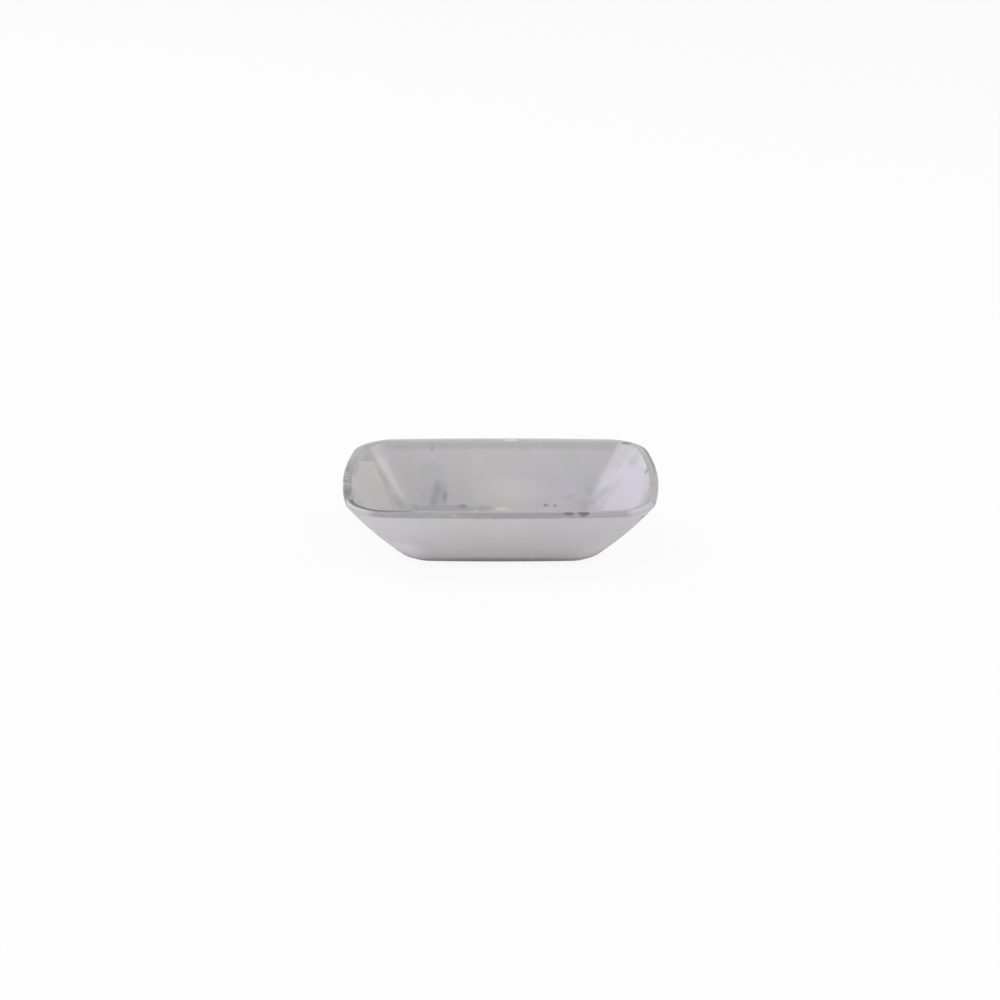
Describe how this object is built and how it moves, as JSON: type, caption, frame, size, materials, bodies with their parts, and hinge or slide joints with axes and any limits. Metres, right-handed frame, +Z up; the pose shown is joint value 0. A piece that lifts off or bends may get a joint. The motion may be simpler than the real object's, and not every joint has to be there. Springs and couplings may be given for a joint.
{
  "type": "small deep rectangular dish",
  "caption": "Small deep rectangular dish of glazed porcelain with softly bowed sides, round corners, a speckled lip, sloping walls and a bare foot ring.",
  "frame": {"origin": "centre of the plane that the foot ring stands on", "axes": "+X along the dish's length, +Y along its width, away from the side that faces the viewer, +Z up out of the dish"},
  "size_m": [0.16, 0.12, 0.037],
  "materials": {
    "bare_porcelain": "bare fired porcelain, matt and fine grained, on the foot ring",
    "cloudy_glaze": "glossy cloudy grey reactive glaze with pale and blue-grey mottling",
    "speckled_glaze": "glossy darker grey glaze, speckled where it thins over the lip",
    "plain_glaze": "glossy plain pale lilac-grey glaze"
  },
  "bodies": {
    "root": {"clay_body": "bare_porcelain", "inside_glaze": "cloudy_glaze", "rim_glaze": "speckled_glaze", "outside_glaze": "plain_glaze", "underside_glaze": "plain_glaze"}
  },
  "joints": []
}
